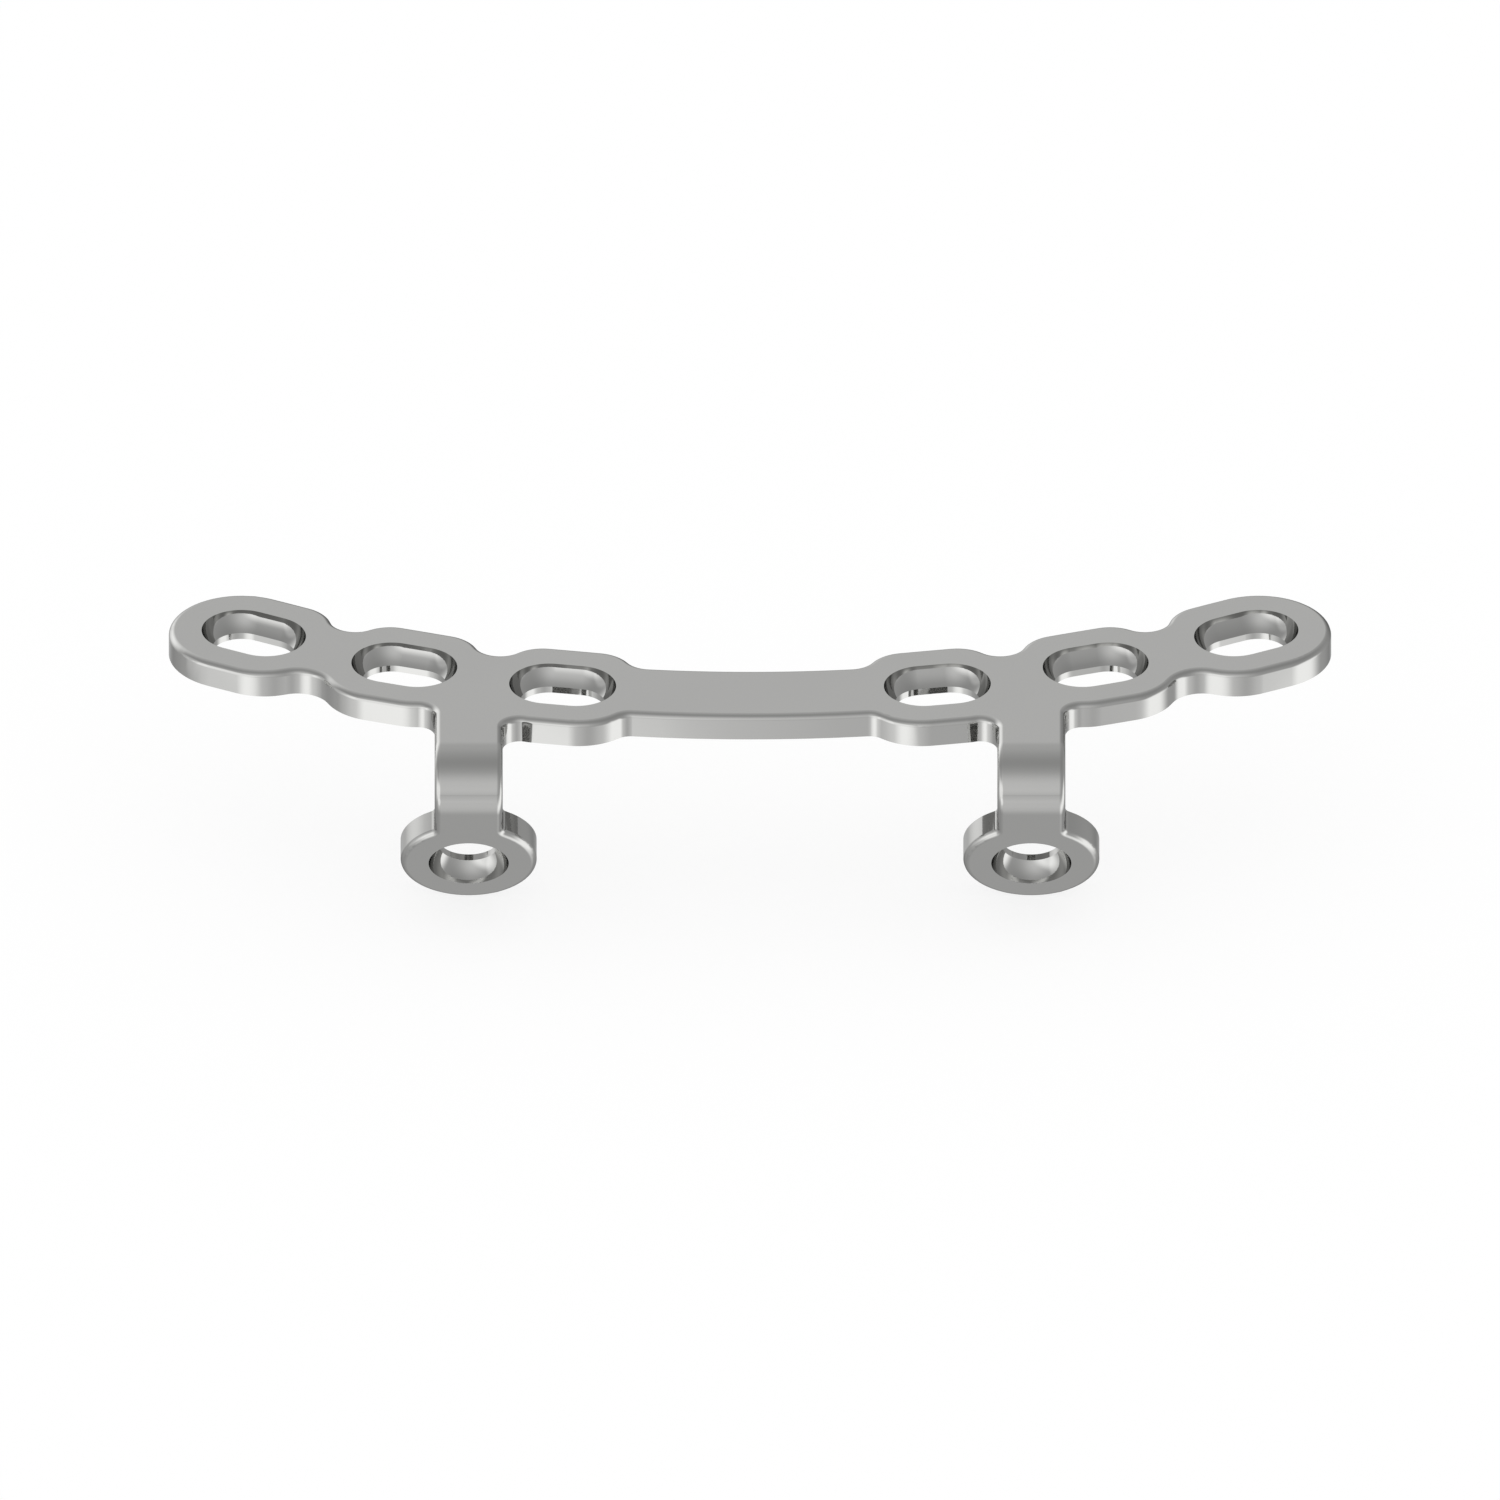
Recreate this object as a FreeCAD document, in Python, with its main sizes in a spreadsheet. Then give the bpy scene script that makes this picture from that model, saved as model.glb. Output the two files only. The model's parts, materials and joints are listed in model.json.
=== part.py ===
import FreeCAD, Part

import math
import os
from enum import IntEnum
from types import SimpleNamespace

import Sketcher
from FreeCAD import Placement, Rotation, Vector

# Curved bone plate with six slotted screw seats and two hooked arms that end in screw rings.
# The plate is one piece of metal. X runs along it, Y points at the centre of its curve and Z points
# out of the face that takes the screw heads. Z is 0 on the bone face, and the origin lies under the
# middle of the bar. The plate is the same on both sides of the plane X = 0.

NODE = "bone_plate"

# Driving sizes in millimetres and degrees. Inner is the side towards the centre of the curve, outer
# the side away from it, which carries the arms. An offset is measured from the curved centre line.
SIZES = {
    "arc_radius": 80.0,
    "plate_thickness": 2.0,
    "first_slot_distance": 13.82,
    "slot_pitch": 12.0,
    "slot_travel": 2.0,
    "bump_offset": 5.35,
    "inner_flat_half": 1.9,
    "outer_flat_half": 1.3,
    "inner_corner_radius": 3.0,
    "outer_corner_radius": 4.5,
    "bar_inner_offset": 3.4,
    "bar_outer_offset": 3.375,
    "bar_inner_fillet": 1.87,
    "bar_outer_fillet": 1.33,
    "waist_inner_offset": 3.4,
    "waist_outer_offset": 3.33,
    "arm_width": 5.0,
    "arm_root_offset": 4.22,
    "arm_root_fillet": 1.25,
    "bend_start_offset": 7.1,
    "bend_inner_radius": 1.14,
    "bend_angle": 120.0,
    "ring_distance": 7.06,
    "ring_radius": 5.0,
    "ring_fillet": 0.6,
    "seat_ball_radius": 3.0,
    "seat_through_radius": 2.15,
    "seat_land_height": 0.5,
    "edge_round": 0.45,
}

SIZE_NOTES = {
    "arc_radius": "radius of the plate's centre line",
    "plate_thickness": "thickness of plate, arms and rings",
    "first_slot_distance": "from the middle to the first slot, along the centre line",
    "slot_pitch": "from slot to slot, along the centre line",
    "slot_travel": "between the centres of a slot's two round ends",
    "bump_offset": "edge of the wide part round a slot, both sides",
    "inner_flat_half": "half of the straight edge beside a slot, inner side",
    "outer_flat_half": "half of the straight edge beside a slot, outer side",
    "inner_corner_radius": "rounded corner of the wide part, inner side",
    "outer_corner_radius": "rounded corner of the wide part, outer side",
    "bar_inner_offset": "edge of the middle bar, inner side",
    "bar_outer_offset": "edge of the middle bar, outer side",
    "bar_inner_fillet": "fillet from the bar into the first wide part, inner side",
    "bar_outer_fillet": "fillet from the bar into the first wide part, outer side",
    "waist_inner_offset": "deepest point of the scallop between slots, inner side",
    "waist_outer_offset": "deepest point of the scallop between slots, outer side",
    "arm_width": "width of an arm",
    "arm_root_offset": "where the arm's middle crosses the line halfway between two slots",
    "arm_root_fillet": "fillet from a wide part into the arm",
    "bend_start_offset": "where the arm leaves the plate's plane",
    "bend_inner_radius": "inside radius of the arm's bend",
    "bend_angle": "turn of the arm's bend",
    "ring_distance": "from the end of the bend to the ring's centre",
    "ring_radius": "outside radius of the ring",
    "ring_fillet": "fillet from the arm into the ring",
    "seat_ball_radius": "round wall of a screw seat, for a ball-shaped head",
    "seat_through_radius": "way through for the screw",
    "seat_land_height": "straight wall under the round seat",
    "edge_round": "round along the outline of the outer face",
}

SLOTS_PER_SIDE = 3
SEAT_TURN = 360.0
MATCH_TOLERANCE = 1e-6
SIDE_VIEW_AXIS = Vector(1, 0, 0)
SHEET_UP = Vector(0, 1, 0)
UP = Vector(0, 0, 1)

# Formulas that more than one feature reads. The first two are angles at the centre of the curve.
FIRST_SLOT_TURN = "Sizes.first_slot_distance / Sizes.arc_radius * 180 / pi"
PITCH_TURN = "Sizes.slot_pitch / Sizes.arc_radius * 180 / pi"
ARM_TURN = f"({FIRST_SLOT_TURN} + {PITCH_TURN} / 2)"
ARM_PLACE = f"(Sizes.arc_radius + Sizes.arm_root_offset) * sin({ARM_TURN})"


class Spot(IntEnum):
    """The points of a sketch's line or arc, as a constraint numbers them."""

    START = 1
    FINISH = 2
    CENTRE = 3


class Guide(IntEnum):
    """A sketch's own origin and axes, as a constraint numbers them."""

    ROOT = -1
    LEVEL_AXIS = -1
    UPRIGHT_AXIS = -2


def make_sheet(doc):
    """Put every driving size into a cell with an alias, and return the sizes by name."""
    sheet = doc.addObject("Spreadsheet::Sheet", "Sizes")
    for row, (name, value) in enumerate(SIZES.items(), start=1):
        sheet.set(f"A{row}", name)
        sheet.set(f"B{row}", str(value))
        sheet.setAlias(f"B{row}", name)
        sheet.set(f"C{row}", SIZE_NOTES[name])
    doc.recompute()
    return SimpleNamespace(**{name: float(getattr(sheet, name)) for name in SIZES})


def origin_plane(body, role):
    """Return one of the body's three origin planes."""
    return next(item for item in body.Origin.OriginFeatures if item.Role == role)


def add_sketch(body, name, role, place, turn_axis=UP):
    """Attach a sketch to one of the body's origin planes, moved and turned by formulas."""
    sketch = body.newObject("Sketcher::SketchObject", name)
    sketch.AttachmentSupport = [(origin_plane(body, role), "")]
    sketch.MapMode = "FlatFace"
    sketch.AttachmentOffset = Placement(Vector(), Rotation(turn_axis, 1))
    sketch.setExpression("AttachmentOffset.Rotation.Angle", place.get("turn", "0"))
    for key in ("x", "y", "z"):
        sketch.setExpression(f"AttachmentOffset.Base.{key}", place.get(key, "0"))
    return sketch


def touch(centre, radius, other):
    """Return where a circle meets the line from its centre to another circle's centre."""
    way = other - centre
    return centre + way * (radius / way.Length)


def tangent_centre(first, first_reach, second, second_reach, side):
    """Return the point at a given reach from two centres, on one side of the line between them."""
    way = second - first
    along = (way.Length**2 + first_reach**2 - second_reach**2) / (2 * way.Length)
    across = math.sqrt(first_reach**2 - along**2)
    way.normalize()
    return first + way * along + Vector(-way.y, way.x, 0) * (side * across)


class Chain:
    """A closed outline in a sketch, drawn edge after edge from a first point."""

    def __init__(self, sketch, point):
        self.sketch = sketch
        self.point = point
        self.edges = []

    def line_to(self, point, smooth=True):
        """Go on with a straight edge."""
        index = self.sketch.addGeometry(Part.LineSegment(self.point, point), False)
        return self.join(index, Spot.START, Spot.FINISH, point, smooth)

    def arc_to(self, centre, point, convex=True, smooth=True):
        """Go on with a round edge, which is counter-clockwise where the outline is convex."""
        first, last = (self.point, point) if convex else (point, self.point)
        begin = math.atan2(first.y - centre.y, first.x - centre.x)
        end = math.atan2(last.y - centre.y, last.x - centre.x)
        if end < begin:
            end += 2 * math.pi
        circle = Part.Circle(centre, UP, (first - centre).Length)
        index = self.sketch.addGeometry(Part.ArcOfCircle(circle, begin, end), False)
        head, tail = (Spot.START, Spot.FINISH) if convex else (Spot.FINISH, Spot.START)
        return self.join(index, head, tail, point, smooth)

    def join(self, index, head, tail, point, smooth):
        """Tie an edge to the one before it, tangent where the joint is smooth."""
        if self.edges:
            kind = "Tangent" if smooth else "Coincident"
            _, _, tail_before = self.edges[-1]
            self.tie(kind, self.edges[-1][0], tail_before, index, head)
        self.edges.append((index, head, tail))
        self.point = point
        return index

    def close(self):
        """Tie the last edge to the first at a corner."""
        first, head, _ = self.edges[0]
        last, _, tail = self.edges[-1]
        self.tie("Coincident", last, tail, first, head)

    def tie(self, kind, *where):
        """Add a constraint that has no size."""
        self.sketch.addConstraint(Sketcher.Constraint(kind, *where))

    def size(self, name, formula, kind, *where):
        """Add a dimension at its drawn value and bind it to a formula."""
        if kind == "Radius":
            drawn = self.sketch.Geometry[where[0]].Radius
        else:
            way = self.sketch.getPoint(*where[2:]) - self.sketch.getPoint(*where[:2])
            drawn = way.x if kind == "DistanceX" else way.y
        index = self.sketch.addConstraint(Sketcher.Constraint(kind, *where, drawn))
        self.sketch.renameConstraint(index, name)
        self.sketch.setExpression(f"Constraints.{name}", formula)

    def size_place(self, name, formulas, index, point):
        """Bind a point's place, measured from the sketch's origin, to two formulas."""
        self.size(f"{name}_x", formulas[0], "DistanceX", Guide.ROOT, Spot.START, index, point)
        self.size(f"{name}_y", formulas[1], "DistanceY", Guide.ROOT, Spot.START, index, point)


def slot_point(size, number, along, outward):
    """Return a point given in a slot's own frame, seen from the centre of the curve."""
    turn = (size.first_slot_distance + number * size.slot_pitch) / size.arc_radius
    reach = size.arc_radius + outward
    x = reach * math.sin(turn) + along * math.cos(turn)
    y = along * math.sin(turn) - reach * math.cos(turn)
    return Vector(x, y, 0)


def slot_formulas(number, along, outward):
    """Return the formulas of the same point, from formulas in the slot's own frame."""
    turn = f"({FIRST_SLOT_TURN} + {number} * {PITCH_TURN})"
    reach = f"(Sizes.arc_radius + {outward})"
    x = f"{reach} * sin({turn}) + ({along}) * cos({turn})"
    y = f"({along}) * sin({turn}) - {reach} * cos({turn})"
    return x, y


def scallop(floor, inwards, corner, corner_radius):
    """Return the centre and radius of a round scallop between two equal corners.

    The scallop's deepest point is its floor, and inwards is the way from there to its centre.
    """
    way = corner - floor
    radius = (way.dot(way) - corner_radius**2) / (2 * (corner_radius + inwards.dot(way)))
    return floor + inwards * radius, radius


class PlanOutline:
    """Half of the plate's outline seen from above, drawn about the centre of its curve."""

    def __init__(self, body, size):
        self.size = size
        self.sketch = add_sketch(body, "plan", "XY_Plane", {"y": "Sizes.arc_radius"})
        self.middle = Vector()
        self.outer_edge = size.arc_radius + size.bar_outer_offset
        self.inner_edge = size.arc_radius - size.bar_inner_offset
        self.chain = Chain(self.sketch, Vector(0, -self.outer_edge, 0))
        self.outer_arcs = {}
        self.inner_arcs = {}
        self.scallops = []

    def outer_corner(self, number, end):
        """Return the centre of a wide part's corner on the outer side."""
        size = self.size
        outward = size.bump_offset - size.outer_corner_radius
        return slot_point(size, number, end * size.outer_flat_half, outward)

    def inner_corner(self, number, end):
        """Return the centre of a wide part's corner on the inner side."""
        size = self.size
        outward = size.inner_corner_radius - size.bump_offset
        return slot_point(size, number, end * size.inner_flat_half, outward)

    def draw(self):
        """Draw the outline counter-clockwise from the bar's outer edge, and set its sizes."""
        self.draw_bar_outer_edge()
        self.draw_arm()
        self.draw_outer_side()
        self.draw_end()
        self.draw_inner_side()
        self.chain.line_to(Vector(0, -self.outer_edge, 0), smooth=False)
        self.chain.close()
        self.set_bar_sizes()
        self.set_corner_sizes()
        self.set_scallop_sizes()
        return self.sketch

    def draw_bar_outer_edge(self):
        """Draw from the middle of the plate to the first wide part."""
        size = self.size
        corner = self.outer_corner(0, -1)
        corner_reach = size.outer_corner_radius + size.bar_outer_fillet
        bar_reach = self.outer_edge + size.bar_outer_fillet
        fillet = tangent_centre(self.middle, bar_reach, corner, corner_reach, -1)
        self.outer_bar = self.chain.arc_to(self.middle, touch(self.middle, self.outer_edge, fillet))
        finish = touch(fillet, size.bar_outer_fillet, corner)
        self.outer_bar_fillet = self.chain.arc_to(fillet, finish, convex=False)

    def draw_outer_bump(self, number, next_centre):
        """Draw a wide part's outer side, up to where it touches the next round."""
        size = self.size
        start = slot_point(size, number, -size.outer_flat_half, size.bump_offset)
        finish = slot_point(size, number, size.outer_flat_half, size.bump_offset)
        self.outer_arcs[number, -1] = self.chain.arc_to(self.outer_corner(number, -1), start)
        self.chain.line_to(finish)
        corner = self.outer_corner(number, 1)
        end = touch(corner, size.outer_corner_radius, next_centre)
        self.outer_arcs[number, 1] = self.chain.arc_to(corner, end)

    def draw_arm(self):
        """Draw the first wide part's outer side and the flat part of the arm beside it."""
        size = self.size
        arm_turn = (size.first_slot_distance + size.slot_pitch / 2) / size.arc_radius
        arm_place = (size.arc_radius + size.arm_root_offset) * math.sin(arm_turn)
        tip = -size.arc_radius - size.bend_start_offset
        near = arm_place - size.arm_width / 2
        far = arm_place + size.arm_width / 2
        reach = size.outer_corner_radius + size.arm_root_fillet

        near_corner = self.outer_corner(0, 1)
        near_x = near - size.arm_root_fillet
        near_drop = math.sqrt(reach**2 - (near_x - near_corner.x) ** 2)
        near_fillet = Vector(near_x, near_corner.y - near_drop, 0)
        self.draw_outer_bump(0, near_fillet)
        finish = Vector(near, near_fillet.y, 0)
        self.near_fillet = self.chain.arc_to(near_fillet, finish, convex=False)
        self.near_edge = self.chain.line_to(Vector(near, tip, 0))
        self.arm_tip = self.chain.line_to(Vector(far, tip, 0), smooth=False)

        far_corner = self.outer_corner(1, -1)
        far_x = far + size.arm_root_fillet
        far_drop = math.sqrt(reach**2 - (far_x - far_corner.x) ** 2)
        far_fillet = Vector(far_x, far_corner.y - far_drop, 0)
        self.far_edge = self.chain.line_to(Vector(far, far_fillet.y, 0), smooth=False)
        finish = touch(far_fillet, size.arm_root_fillet, far_corner)
        self.far_fillet = self.chain.arc_to(far_fillet, finish, convex=False)

    def scallop_after(self, number, outer):
        """Return the centre and radius of the scallop between a slot and the next one."""
        size = self.size
        way = slot_point(size, number + 0.5, 0, 0)
        way.normalize()
        if outer:
            floor = way * (size.arc_radius + size.waist_outer_offset)
            return scallop(floor, way, self.outer_corner(number, 1), size.outer_corner_radius)
        floor = way * (size.arc_radius - size.waist_inner_offset)
        return scallop(floor, way * -1, self.inner_corner(number, 1), size.inner_corner_radius)

    def draw_outer_side(self):
        """Draw the outer side from the arm to the last slot."""
        size = self.size
        last = SLOTS_PER_SIDE - 1
        for number in range(1, last):
            centre, radius = self.scallop_after(number, outer=True)
            self.draw_outer_bump(number, centre)
            finish = touch(centre, radius, self.outer_corner(number + 1, -1))
            self.scallops.append((self.chain.arc_to(centre, finish, convex=False), "outer"))
        start = slot_point(size, last, -size.outer_flat_half, size.bump_offset)
        self.outer_arcs[last, -1] = self.chain.arc_to(self.outer_corner(last, -1), start)

    def draw_end(self):
        """Draw the round end of the plate, which is concentric with the last slot's end."""
        size = self.size
        last = SLOTS_PER_SIDE - 1
        travel = size.slot_travel / 2
        self.chain.line_to(slot_point(size, last, travel, size.bump_offset))
        finish = slot_point(size, last, travel, -size.bump_offset)
        self.end_arc = self.chain.arc_to(slot_point(size, last, travel, 0), finish)
        self.chain.line_to(slot_point(size, last, -size.inner_flat_half, -size.bump_offset))

    def draw_inner_side(self):
        """Draw the inner side from the last slot back to the middle of the plate."""
        size = self.size
        for number in reversed(range(1, SLOTS_PER_SIDE)):
            centre, radius = self.scallop_after(number - 1, outer=False)
            corner = self.inner_corner(number, -1)
            finish = touch(corner, size.inner_corner_radius, centre)
            self.inner_arcs[number, -1] = self.chain.arc_to(corner, finish)
            corner = self.inner_corner(number - 1, 1)
            finish = touch(centre, radius, corner)
            self.scallops.append((self.chain.arc_to(centre, finish, convex=False), "inner"))
            finish = slot_point(size, number - 1, size.inner_flat_half, -size.bump_offset)
            self.inner_arcs[number - 1, 1] = self.chain.arc_to(corner, finish)
            self.chain.line_to(slot_point(size, number - 1, -size.inner_flat_half, -size.bump_offset))

        corner = self.inner_corner(0, -1)
        corner_reach = size.inner_corner_radius + size.bar_inner_fillet
        bar_reach = self.inner_edge - size.bar_inner_fillet
        fillet = tangent_centre(self.middle, bar_reach, corner, corner_reach, -1)
        finish = touch(corner, size.inner_corner_radius, fillet)
        self.inner_arcs[0, -1] = self.chain.arc_to(corner, finish)
        finish = touch(self.middle, self.inner_edge, fillet)
        self.inner_bar_fillet = self.chain.arc_to(fillet, finish, convex=False)
        finish = Vector(0, -self.inner_edge, 0)
        self.inner_bar = self.chain.arc_to(self.middle, finish, convex=False)

    def set_bar_sizes(self):
        """Set the sizes of the bar, its fillets and the arm."""
        chain = self.chain
        for index, point in ((self.outer_bar, Spot.START), (self.inner_bar, Spot.START)):
            chain.tie("Coincident", Guide.ROOT, Spot.START, index, Spot.CENTRE)
            chain.tie("PointOnObject", index, point, Guide.UPRIGHT_AXIS)
        chain.size("bar_outer", "Sizes.arc_radius + Sizes.bar_outer_offset", "Radius", self.outer_bar)
        chain.size("bar_inner", "Sizes.arc_radius - Sizes.bar_inner_offset", "Radius", self.inner_bar)
        chain.size("bar_outer_fillet", "Sizes.bar_outer_fillet", "Radius", self.outer_bar_fillet)
        chain.size("bar_inner_fillet", "Sizes.bar_inner_fillet", "Radius", self.inner_bar_fillet)
        chain.size("near_fillet", "Sizes.arm_root_fillet", "Radius", self.near_fillet)
        chain.size("far_fillet", "Sizes.arm_root_fillet", "Radius", self.far_fillet)
        tip = "-Sizes.arc_radius - Sizes.bend_start_offset"
        near = f"{ARM_PLACE} - Sizes.arm_width / 2"
        far = f"{ARM_PLACE} + Sizes.arm_width / 2"
        chain.size_place("near_tip", (near, tip), self.near_edge, Spot.FINISH)
        chain.size_place("far_tip", (far, tip), self.far_edge, Spot.START)
        chain.tie("Vertical", self.near_edge)
        chain.tie("Vertical", self.far_edge)

    def set_corner_sizes(self):
        """Set the place and radius of every rounded corner and of the plate's round end."""
        sides = (
            ("outer", self.outer_arcs, "Sizes.bump_offset - Sizes.outer_corner_radius"),
            ("inner", self.inner_arcs, "Sizes.inner_corner_radius - Sizes.bump_offset"),
        )
        for side, arcs, outward in sides:
            for (number, end), index in arcs.items():
                name = f"{side}_{number}_{'far' if end > 0 else 'near'}"
                formulas = slot_formulas(number, f"{end} * Sizes.{side}_flat_half", outward)
                self.chain.size_place(name, formulas, index, Spot.CENTRE)
                self.chain.size(f"{name}_radius", f"Sizes.{side}_corner_radius", "Radius", index)
        formulas = slot_formulas(SLOTS_PER_SIDE - 1, "Sizes.slot_travel / 2", "0")
        self.chain.size_place("end", formulas, self.end_arc, Spot.CENTRE)
        self.chain.size("end_radius", "Sizes.bump_offset", "Radius", self.end_arc)

    def set_scallop_sizes(self):
        """Lay every scallop against a construction circle about the centre of the curve."""
        reaches = {
            "outer": self.size.arc_radius + self.size.waist_outer_offset,
            "inner": self.size.arc_radius - self.size.waist_inner_offset,
        }
        floors = {}
        for side, reach in reaches.items():
            floors[side] = self.sketch.addGeometry(Part.Circle(self.middle, UP, reach), True)
            self.chain.tie("Coincident", Guide.ROOT, Spot.START, floors[side], Spot.CENTRE)
        outer_formula = "Sizes.arc_radius + Sizes.waist_outer_offset"
        inner_formula = "Sizes.arc_radius - Sizes.waist_inner_offset"
        self.chain.size("waist_outer", outer_formula, "Radius", floors["outer"])
        self.chain.size("waist_inner", inner_formula, "Radius", floors["inner"])
        for index, side in self.scallops:
            self.chain.tie("Tangent", index, floors[side])


def draw_bend_section(body, size):
    """Draw the arm's section where the bend starts, about the bend's axis."""
    place = {"x": ARM_PLACE, "y": "-Sizes.bend_inner_radius", "z": "Sizes.bend_start_offset"}
    sketch = add_sketch(body, "bend_section", "XZ_Plane", place)
    half = size.arm_width / 2
    low = size.bend_inner_radius
    high = low + size.plate_thickness
    chain = Chain(sketch, Vector(-half, low, 0))
    bottom = chain.line_to(Vector(half, low, 0))
    right = chain.line_to(Vector(half, high, 0), smooth=False)
    top = chain.line_to(Vector(-half, high, 0), smooth=False)
    left = chain.line_to(Vector(-half, low, 0), smooth=False)
    chain.close()
    for index in (bottom, top):
        chain.tie("Horizontal", index)
    for index in (left, right):
        chain.tie("Vertical", index)
    chain.size_place("low", ("-Sizes.arm_width / 2", "Sizes.bend_inner_radius"), bottom, Spot.START)
    top_formula = "Sizes.bend_inner_radius + Sizes.plate_thickness"
    chain.size_place("high", ("Sizes.arm_width / 2", top_formula), right, Spot.FINISH)
    return sketch


def draw_ring_outline(body, size):
    """Draw the end of the arm and its ring on the bone face, with Y pointing back up the arm."""
    place = {
        "x": ARM_PLACE,
        "y": "-Sizes.bend_start_offset - Sizes.bend_inner_radius * sin(Sizes.bend_angle)",
        "z": "Sizes.bend_inner_radius * (cos(Sizes.bend_angle) - 1)",
        "turn": "Sizes.bend_angle",
    }
    sketch = add_sketch(body, "ring_outline", "XY_Plane", place, SIDE_VIEW_AXIS)
    half = size.arm_width / 2
    ring = Vector(0, -size.ring_distance, 0)
    fillet_x = half + size.ring_fillet
    fillet_y = ring.y + math.sqrt((size.ring_radius + size.ring_fillet) ** 2 - fillet_x**2)
    left_fillet = Vector(-fillet_x, fillet_y, 0)
    right_fillet = Vector(fillet_x, fillet_y, 0)
    chain = Chain(sketch, Vector(-half, 0, 0))
    left = chain.line_to(Vector(-half, fillet_y, 0))
    finish = touch(left_fillet, size.ring_fillet, ring)
    left_arc = chain.arc_to(left_fillet, finish, convex=False)
    ring_arc = chain.arc_to(ring, touch(right_fillet, size.ring_fillet, ring))
    right_arc = chain.arc_to(right_fillet, Vector(half, fillet_y, 0), convex=False)
    right = chain.line_to(Vector(half, 0, 0))
    chain.line_to(Vector(-half, 0, 0), smooth=False)
    chain.close()
    for index in (left, right):
        chain.tie("Vertical", index)
    chain.size_place("left", ("-Sizes.arm_width / 2", "0"), left, Spot.START)
    chain.size_place("right", ("Sizes.arm_width / 2", "0"), right, Spot.FINISH)
    chain.tie("PointOnObject", ring_arc, Spot.CENTRE, Guide.UPRIGHT_AXIS)
    reach = (Guide.ROOT, Spot.START, ring_arc, Spot.CENTRE)
    chain.size("ring_place", "-Sizes.ring_distance", "DistanceY", *reach)
    chain.size("ring_radius", "Sizes.ring_radius", "Radius", ring_arc)
    for name, index in (("left_fillet", left_arc), ("right_fillet", right_arc)):
        chain.size(name, "Sizes.ring_fillet", "Radius", index)
    return sketch


def seat_ball_centre(size):
    """Return the centre of the ball that a seat's round wall is part of.

    The wall starts at the top of the land, and its centre is on the seat's axis.
    """
    rise = math.sqrt(size.seat_ball_radius**2 - size.seat_through_radius**2)
    return Vector(0, size.seat_land_height + rise, 0)


def draw_seat(body, size, name, role, place, turn_axis, whole):
    """Draw a screw seat's section, half of it for a turned cut or the whole for a straight one."""
    sketch = add_sketch(body, name, role, place, turn_axis)
    through = size.seat_through_radius
    land = size.seat_land_height
    top = size.plate_thickness
    centre = seat_ball_centre(size)
    mouth = math.sqrt(size.seat_ball_radius**2 - (top - centre.y) ** 2)
    left_foot = -through if whole else 0
    chain = Chain(sketch, Vector(left_foot, 0, 0))
    floor = chain.line_to(Vector(through, 0, 0))
    right_land = chain.line_to(Vector(through, land, 0), smooth=False)
    right_wall = chain.arc_to(centre, Vector(mouth, top, 0), smooth=False)
    lid = chain.line_to(Vector(-mouth if whole else 0, top, 0), smooth=False)
    if whole:
        left_wall = chain.arc_to(centre, Vector(-through, land, 0), smooth=False)
        chain.tie("Symmetric", left_wall, Spot.START, right_wall, Spot.FINISH, Guide.UPRIGHT_AXIS)
        chain.tie("Symmetric", left_wall, Spot.FINISH, right_wall, Spot.START, Guide.UPRIGHT_AXIS)
        chain.tie("Coincident", left_wall, Spot.CENTRE, right_wall, Spot.CENTRE)
    left = chain.line_to(Vector(left_foot, 0, 0), smooth=False)
    chain.close()
    chain.tie("Vertical", left)
    chain.tie("Vertical", right_land)
    chain.tie("PointOnObject", floor, Spot.START, Guide.LEVEL_AXIS)
    chain.tie("PointOnObject", floor, Spot.FINISH, Guide.LEVEL_AXIS)
    if not whole:
        chain.tie("PointOnObject", right_wall, Spot.CENTRE, Guide.UPRIGHT_AXIS)
        chain.tie("PointOnObject", left, Spot.FINISH, Guide.UPRIGHT_AXIS)
        chain.tie("Horizontal", lid)
    land_place = ("Sizes.seat_through_radius", "Sizes.seat_land_height")
    chain.size_place("land", land_place, right_wall, Spot.START)
    chain.size("ball_radius", "Sizes.seat_ball_radius", "Radius", right_wall)
    rise = (Guide.ROOT, Spot.START, right_wall, Spot.FINISH)
    chain.size("mouth_height", "Sizes.plate_thickness", "DistanceY", *rise)
    return sketch


def add_pad(body, sketch, name):
    """Give a sketch on the bone face the plate's thickness."""
    pad = body.newObject("PartDesign::Pad", name)
    pad.Profile = sketch
    pad.setExpression("Length", "Sizes.plate_thickness")
    return pad


def add_turn(body, sketch, kind, name, axis, angle):
    """Turn a sketch about one of its own axes."""
    turn = body.newObject(f"PartDesign::{kind}", name)
    turn.Profile = sketch
    turn.ReferenceAxis = (sketch, [axis])
    turn.setExpression("Angle", angle)
    return turn


def mirror_of(body, features, name):
    """Repeat features on the other side of the plate's middle."""
    mirror = body.newObject("PartDesign::Mirrored", name)
    mirror.Originals = features
    mirror.MirrorPlane = (origin_plane(body, "YZ_Plane"), [""])
    body.Tip = mirror
    return mirror


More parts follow.
